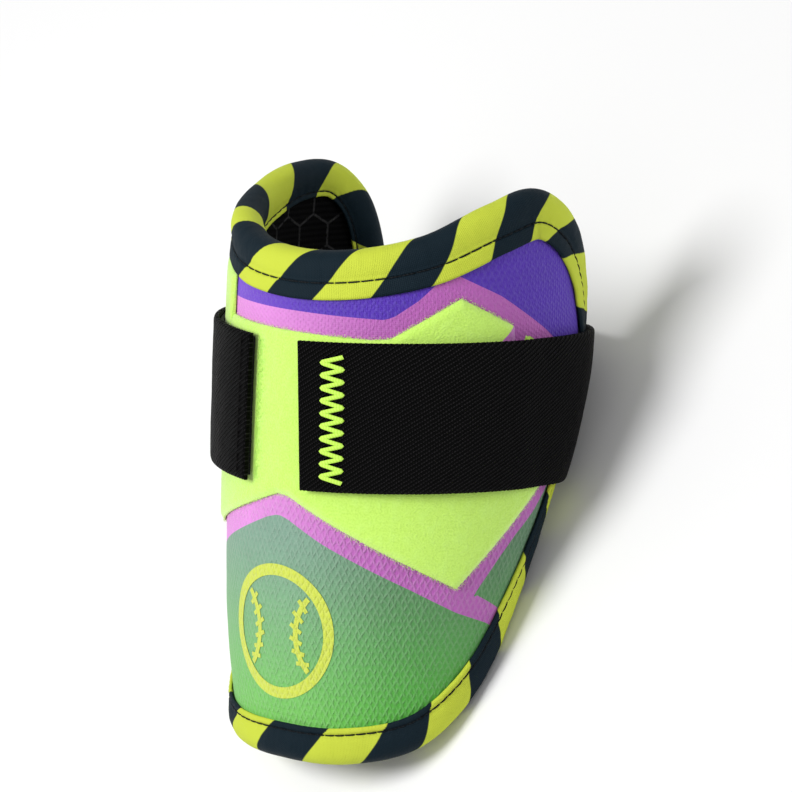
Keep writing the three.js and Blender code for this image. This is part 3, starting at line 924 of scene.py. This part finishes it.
def binding_profile(width):
    face = CLEARANCE + BINDING_WALL
    back = LINING_FACE - face
    groove = -STITCH_INSET
    lap = [
        (-width, CLEARANCE), (-width - 0.1, 0.75), (-width + 0.35, 1.2), (-width + 1.0, face),
        (groove - 1.0, face), (groove - 0.4, face - 0.15), (groove, face - GROOVE_DEPTH),
        (groove + 0.4, face - 0.15),
    ]
    inner = [
        (groove + 0.4, back + 0.15), (groove, back + GROOVE_DEPTH), (groove - 0.4, back + 0.15),
        (-INNER_BINDING_WIDTH, back), (-INNER_BINDING_WIDTH - 0.2, back + 0.5),
        (-INNER_BINDING_WIDTH, LINING_FACE - CLEARANCE),
    ]
    outside = smooth_open(np.array(lap + NOSE_SIDE + inner), 3)
    return np.vstack([outside, CHANNEL])


def edge_stations(count):
    """Evenly spaced places on the pad's edge, their directions out and lengths round it."""
    wanted = np.arange(count) / count * EDGE_POINTS
    index = np.arange(EDGE_POINTS + 1)
    closed = (np.vstack([flat, flat[:1]]) for flat in (EDGE_AT, EDGE_OUT))
    at, out = (places_at(wanted, index, flat) for flat in closed)
    return at, unit(out), wanted / EDGE_POINTS * EDGE_RUN


def make_binding():
    at, out, run = edge_stations(BINDING_STATIONS)
    profiles = np.stack([binding_profile(width) for width in binding_width(at[:, 1])])
    count = profiles.shape[1]
    reach, lift = profiles[..., 0].copy(), profiles[..., 1].copy()
    ply = np.arange(count) < count - len(CHANNEL)
    sign = np.where(lift > LINING_FACE / 2, 1.0, -1.0)
    near_groove = np.exp(-(((reach + STITCH_INSET) / 1.6) ** 2))
    near_edge = np.exp(-(((reach + 3.5) / 2.5) ** 2))
    pull = np.cos(2 * math.pi * run / STITCH_PITCH)[:, None] * 0.09 * near_groove
    slack = 0.14 * wobble(run[:, None], reach * 1.4, 17.0, 4.0)
    tuck = 0.1 * wobble(run[:, None], reach * 0.4, 4.3, 5.0) * near_edge
    lift += np.where(ply, sign * (slack - pull + tuck), 0)
    places = at[:, None] + out[:, None] * reach[..., None]
    points = guard_point(places[..., 0], places[..., 1], lift)
    steps = np.diff(profiles, axis=1, prepend=profiles[:, :1])
    over = np.cumsum(np.linalg.norm(steps, axis=2), axis=1)
    faces = grid_quads(BINDING_STATIONS, count, closed_rows=True, closed_columns=True)[:, ::-1]
    station = faces // count
    wrapped = (np.ptp(station, axis=1) > 1)[:, None] & (station == 0)
    run_corner = run[station] + EDGE_RUN * wrapped
    over_corner = over.ravel()[faces]
    turns = stripe_turns(run_corner - STRIPE_SLANT * (over_corner - FLANGE_RISE))
    cloth = np.stack([run_corner, over_corner, turns], 2).reshape(-1, 3)
    material = binding_cloth()
    piece(
        "edge_binding", points, faces, material, cloth,
        replaces=["binding"], sharp=70,
    )


def stripe_turns(run):
    """Pairs of stripes passed at lengths round the edge, however often they go round."""
    start = STRIPE_ROWS[0][0]
    rounds = np.floor((run - start) / EDGE_RUN)
    rows = np.array(STRIPE_ROWS)
    return rounds * STRIPE_PAIRS + np.interp(run - rounds * EDGE_RUN, rows[:, 0], rows[:, 1])


def stitch_bow(count):
    """How a stitch of thread rises from its two holes."""
    return np.sin(np.pi * np.linspace(0, 1, count)) ** 0.5


def stitching(name, stitches, material):
    points, faces = joined(stitches)
    piece(name, points, faces, material, points[:, [1, 0, 2]])


def make_binding_stitches():
    """Dark thread in the binding's grooves, outside and inside the guard."""
    count = round(EDGE_RUN / STITCH_PITCH)
    at, out, _ = edge_stations(count * STITCH_STEPS)
    line = at - out * STITCH_INSET
    stitches = []
    for lift, way in ((0.97, 1), (LINING_FACE - 0.95, -1)):
        for k in range(count):
            places = line[k * STITCH_STEPS + np.arange(1, STITCH_STEPS - 1, 3)]
            rise = way * 0.28 * stitch_bow(len(places)) - way * 0.12
            path = guard_point(*places.T, lift + rise)
            above = guard_point(*places.T, lift + way)
            stitches.append(tube_points(path, above - path, 0.2, 0.18, 6))
    material = thread_cloth("dark_thread", (0.003, 0.004, 0.005), (0.01, 0.013, 0.016), 1.1)
    stitching("binding_stitches", stitches, material)


# Strap

def angle_of(length):
    return np.degrees(length / UPPER_RADIUS)


def askew(angle, slant):
    """The angle of a cut end of the strap at lengths along the guard, as a function."""
    return lambda along: angle + slant * ((along - STRAP_START) / STRAP_WIDTH - 0.5)


right_end_angle = askew(RIGHT_END_ANGLE, RIGHT_END_SLANT)
left_end_angle = askew(LEFT_END_ANGLE, LEFT_END_SLANT)


def strap_along(along, share):
    """Where a level of the strap lies at a share of the way to the edge, a little bowed."""
    bow = np.where(share < 0, LEFT_BOW, RIGHT_BOW) * np.sin(np.pi * np.abs(share))
    return along + STRAP_RISE * np.cos(np.pi / 2 * share) + bow


def strap_lift(side, end):
    past_tab = np.abs(side - end) - angle_of(TAB_LENGTH + STRAP_BEND)
    t = np.clip(past_tab / angle_of(STRAP_EASE), 0, 1)
    over = 1 - t * t * (3 - 2 * t)
    return STRAP_LIFT + over * (STRAP_OVER_TAB - STRAP_LIFT)


def strap_run(along, guard_steps, bend_steps, free_steps):
    """One level of the strap's inner face, from its right end round the back to its left end."""
    left, right = edge_angles(along)
    height = FREE_START + FREE_SLOPE * (along - STRAP_START)

    def on_guard(end, edge):
        side = np.linspace(end, edge, guard_steps + 1)
        level = strap_along(along, side / abs(edge))
        return guard_point(across_of(side), level, strap_lift(side, end))

    def bend(edge):
        way = math.copysign(1, edge)
        before, leaves = guard_point(across_of(np.array([edge - way, edge])), along, STRAP_LIFT)
        heading = unit(leaves - before)
        reach = max((height - leaves[2]) / heading[2], 0)
        corner = leaves + heading * reach
        corner[1] = along
        lands = np.array([corner[0] - way * (reach + STRAP_BEND), along, height])
        t = np.linspace(0, 1, bend_steps + 1)[1:, None]
        return (1 - t) ** 2 * leaves + 2 * t * (1 - t) * corner + t**2 * lands

    first, second = bend(right), bend(left)
    share = np.linspace(0, 1, free_steps + 1)[1:-1, None]
    free = first[-1] + share * (second[-1] - first[-1])
    starts = on_guard(right_end_angle(along), right)
    ends = on_guard(left_end_angle(along), left)
    return np.vstack([starts, first, free, second[::-1], ends[::-1]])


def band(runs, thickness, rounding):
    """Outer and inner points of a band of cloth from its levels' runs, its edges rounded."""
    runs = np.stack(runs, 1)
    ahead = np.gradient(runs, axis=0)
    outward = unit(np.stack([-ahead[..., 2], 0 * ahead[..., 0], ahead[..., 0]], 2))
    outer = runs + outward * (thickness - rounding)[..., None]
    inner = runs + outward * (rounding * 0.6)[..., None]
    return outer, inner


def make_strap():
    levels = STRAP_START + STRAP_LEVELS * STRAP_WIDTH
    runs = [strap_run(along, *STRAP_STEPS) for along in levels]
    across = STRAP_LEVELS * STRAP_WIDTH
    from_edge = np.minimum(across, STRAP_WIDTH - across)
    run = run_along(runs[len(levels) // 2])
    from_end = np.minimum(run, run[-1] - run)
    selvage = 0.5 * np.maximum(1 - from_edge / 0.9, 0) ** 2
    cut = 0.35 * np.maximum(1 - from_end / 0.8, 0) ** 2
    slack = 0.07 * wobble(run[:, None], across, 15.0, 6.0)
    slack += 0.03 * wobble(run[:, None], across, 5.0, 7.0)
    outer, inner = band(runs, STRAP_THICKNESS + slack, np.maximum(selvage, cut[:, None]))
    knob = 0.06 + 0.06 * np.sin(2 * math.pi * run / STRAP_KNOB_PITCH + 0.8 * np.sin(run * 0.9))
    aside = np.sign(across - STRAP_WIDTH / 2) * np.exp(-from_edge / 0.6)
    for face in (outer, inner):
        face[..., 1] += knob[:, None] * aside
    outer, inner = outer.reshape(-1, 3), inner.reshape(-1, 3)
    cloth = vectors(np.repeat(run, len(levels)), np.tile(across, len(run)))
    material = strap_cloth()
    slab(
        "elastic_strap", outer, inner, len(levels), material, cloth, "strap",
        sharp=50,
    )


def make_tab(name, node, end_angle, heading, material):
    columns, rows = TAB_GRID
    length = TAB_INSET + np.linspace(0, 1, columns + 1)[::heading] * (TAB_LENGTH - TAB_INSET)
    along = np.linspace(STRAP_START + TAB_INSET, STRAP_END - TAB_INSET, rows + 1)
    side = end_angle(along) + heading * angle_of(length)[:, None]
    edges = np.array([abs(edge_angles(level)[0 if heading < 0 else 1]) for level in along])
    places = across_of(side).ravel(), strap_along(along, side / edges).ravel()
    outer = guard_point(*places, TAB_LIFT + TAB_THICKNESS)
    inner = guard_point(*places, TAB_LIFT)
    slab(name, outer, inner, rows + 1, material, vectors(*places), node)


def on_strap(side, along, lift, end_angle):
    """Points on the strap's outer face near one of its ends."""
    edges = np.array([edge_angles(level)[1] for level in along])
    level = strap_along(along, side / edges)
    face = strap_lift(side, end_angle(along)) + STRAP_THICKNESS
    return guard_point(across_of(side), level, face + lift)


def make_zigzag():
    """The bright zigzag that sews the hook tab under the strap's right end."""
    zigs, first, last, steps, sides = 10, 71.8, 104.0, 16, 10
    middle, swing, slant, sharpness = 21.8, 3.2, 1.4, 0.985
    t = np.linspace(0, 2 * zigs, 2 * zigs * steps + 1)
    straight = np.arcsin(sharpness * np.cos(np.pi * t)) / math.asin(sharpness)
    side = middle + swing * straight + slant * (t / (2 * zigs) - 0.5)
    down = last + (first - last) * t / (2 * zigs)
    lift = 0.3 - 0.22 * np.abs(straight) ** 4
    path = on_strap(side, down, lift, right_end_angle)
    above = on_strap(side, down, lift + 1, right_end_angle)
    points, faces = tube_points(path, above - path, 0.58, 0.36, sides)
    cloth = vectors(np.repeat(run_along(path), sides), np.tile(np.arange(sides) / sides, len(path)))
    material = thread_cloth("bright_thread", NEON_DEEP, NEON, 1.3)
    piece("zigzag_stitch", points, faces, material, cloth)


def make_end_stitches():
    """Row of dark stitches beside the strap's left end."""
    count, first, pitch, steps = 12, 1.3, 3.0, 6
    stitches = []
    for k in range(count):
        along = STRAP_START + first + k * pitch + np.linspace(0, 2.3, steps)
        side = left_end_angle(along) - angle_of(END_STITCH_INSET)
        path = on_strap(side, along, 0.18 * stitch_bow(steps) - 0.05, left_end_angle)
        above = on_strap(side, along, 1.0, left_end_angle)
        stitches.append(tube_points(path, above - path, 0.2, 0.15, 6))
    material = thread_cloth("strap_thread", (0.001, 0.001, 0.001), (0.004, 0.004, 0.004), 1.1)
    stitching("strap_end_stitches", stitches, material)


def ribbon(path, width, closed=False):
    """A flat ribbon along a path on the cloth, as grid points and faces."""
    heading = np.roll(path, -1, 0) - np.roll(path, 1, 0) if closed else np.gradient(path, axis=0)
    heading = unit(heading)
    aside = np.column_stack([-heading[:, 1], heading[:, 0]])
    shares = np.array([0.5, 0.0, -0.5])
    points = path[:, None] + aside[:, None] * shares[:, None] * width
    faces = grid_quads(len(path), len(shares), closed_rows=closed)
    return points.reshape(-1, 2), faces.tolist()


def make_print():
    """A plain ball in outline, printed in bright ink low on the guard."""
    middle = np.array([across_of(1.0), 32.0])
    radius, line, ink = 16.2, 3.0, 0.16
    turn = np.linspace(0, 2 * math.pi, 145)[:-1]
    ring = middle + radius * np.column_stack([np.sin(turn), np.cos(turn)])
    parts = [ribbon(ring, line, closed=True)]
    seam_radius, seam_shift, seam_line = 14.2, 20.6, 1.5
    stitch, stitch_line, stitch_lean = 2.0, 1.1, 0.55
    bend = np.radians(np.linspace(-43, 43, 41))
    for way in (-1, 1):
        outwards = np.column_stack([-way * np.cos(bend), np.sin(bend)])
        seam = middle + [way * seam_shift, 0] + outwards * seam_radius
        parts.append(ribbon(seam, seam_line))
        for k in range(5, 36, 6):
            leg = outwards[k] + [0, stitch_lean]
            leg *= stitch / np.linalg.norm(leg)
            parts.append(ribbon(seam[k] + np.linspace(-1, 1, 5)[:, None] * leg, stitch_line))
    points, faces = joined(parts)
    across, along = points.T
    points = guard_point(across, along, ink + cover_swell(across, along))
    piece("printed_ball", points, faces, print_cloth(), vectors(across, along))


# Stage

PHOTO_SIZE = 792
FOCAL_PIXELS = 3600.0
CAMERA_SIDE = 43.0
CAMERA_RISE = 9.5
CAMERA_REACH = 963.0
AIM = np.array([0.0, 72.9, 0.0])
AIM_PIXEL = (415.0, 450.0)
SENSOR = 36.0
FLOOR_COLOUR = (0.86, 0.86, 0.86)
SKY_STRENGTH = 0.48
# In metres
FLOOR_REACH = 3.0
GUARD_MIDDLE = 0.045


def make_camera():
    """The camera, which looks at the guard as the photograph does."""
    side, rise = math.radians(CAMERA_SIDE), math.radians(CAMERA_RISE)
    right = np.array([math.cos(side), 0, -math.sin(side)])
    level = np.array([-math.sin(side), 0, -math.cos(side)])
    arm = np.array([0, 1, 0])
    ahead = level * math.cos(rise) - arm * math.sin(rise)
    up = level * math.sin(rise) + arm * math.cos(rise)
    eye = AIM - ahead * CAMERA_REACH
    aside = (PHOTO_SIZE / 2 - AIM_PIXEL[0]) / FOCAL_PIXELS
    above = (AIM_PIXEL[1] - PHOTO_SIZE / 2) / FOCAL_PIXELS
    look = unit(ahead + right * aside + up * above)
    right = unit(right - look * (right @ look))
    up = np.cross(right, look)
    data = bpy.data.cameras.new("camera")
    data.sensor_width = SENSOR
    data.lens = SENSOR * FOCAL_PIXELS / PHOTO_SIZE
    data.clip_start = 0.05
    made = placed("camera", data)
    turned = Matrix(np.column_stack([TURN @ right, TURN @ up, TURN @ -look]).tolist())
    made.matrix_world = Matrix.Translation(Vector(in_place(eye[None])[0])) @ turned.to_4x4()
    bpy.context.scene.camera = made
    return made


def make_light(name, camera, place, size, power):
    """A soft light placed by the camera's right, up and backward directions, in metres."""
    middle = Vector((0, 0, GUARD_MIDDLE))
    data = bpy.data.lights.new(name, "AREA")
    data.shape = "DISK"
    data.size = size
    data.energy = power
    made = placed(name, data)
    made.location = middle + camera.matrix_world.to_3x3() @ Vector(place)
    made.rotation_euler = (made.location - middle).to_track_quat("Z", "Y").to_euler()


def make_floor():
    low, high = -FLOOR_REACH, FLOOR_REACH
    corners = [(low, low, 0), (high, low, 0), (high, high, 0), (low, high, 0)]
    mesh = bpy.data.meshes.new("floor")
    mesh.from_pydata(corners, [], [(0, 1, 2, 3)])
    floor = placed("floor", mesh)
    pale = Cloth("pale_floor", 0.7, specular=0.5)
    pale.colour(FLOOR_COLOUR)
    mesh.materials.append(pale.material)


def make_stage(camera):
    make_floor()
    world = bpy.data.worlds.new("world")
    world.use_nodes = True
    sky = world.node_tree.nodes["Background"]
    sky.inputs["Color"].default_value = (1, 1, 1, 1)
    sky.inputs["Strength"].default_value = SKY_STRENGTH
    bpy.context.scene.world = world
    bpy.context.scene.view_settings.view_transform = "Standard"
    make_light("key", camera, (-0.8, 0.22, 0.6), 0.5, 9.5)
    make_light("rim", camera, (0.75, 0.3, 0.35), 0.4, 2.4)


camera = make_camera()
make_pad()
make_lining()
make_patch()
make_binding()
make_binding_stitches()
make_strap()
hooks = tab_cloth()
make_tab("hook_tab_front", "hook_tab_right", right_end_angle, 1, hooks)
make_tab("hook_tab_side", "hook_tab_left", left_end_angle, -1, hooks)
make_zigzag()
make_end_stitches()
make_print()
make_stage(camera)
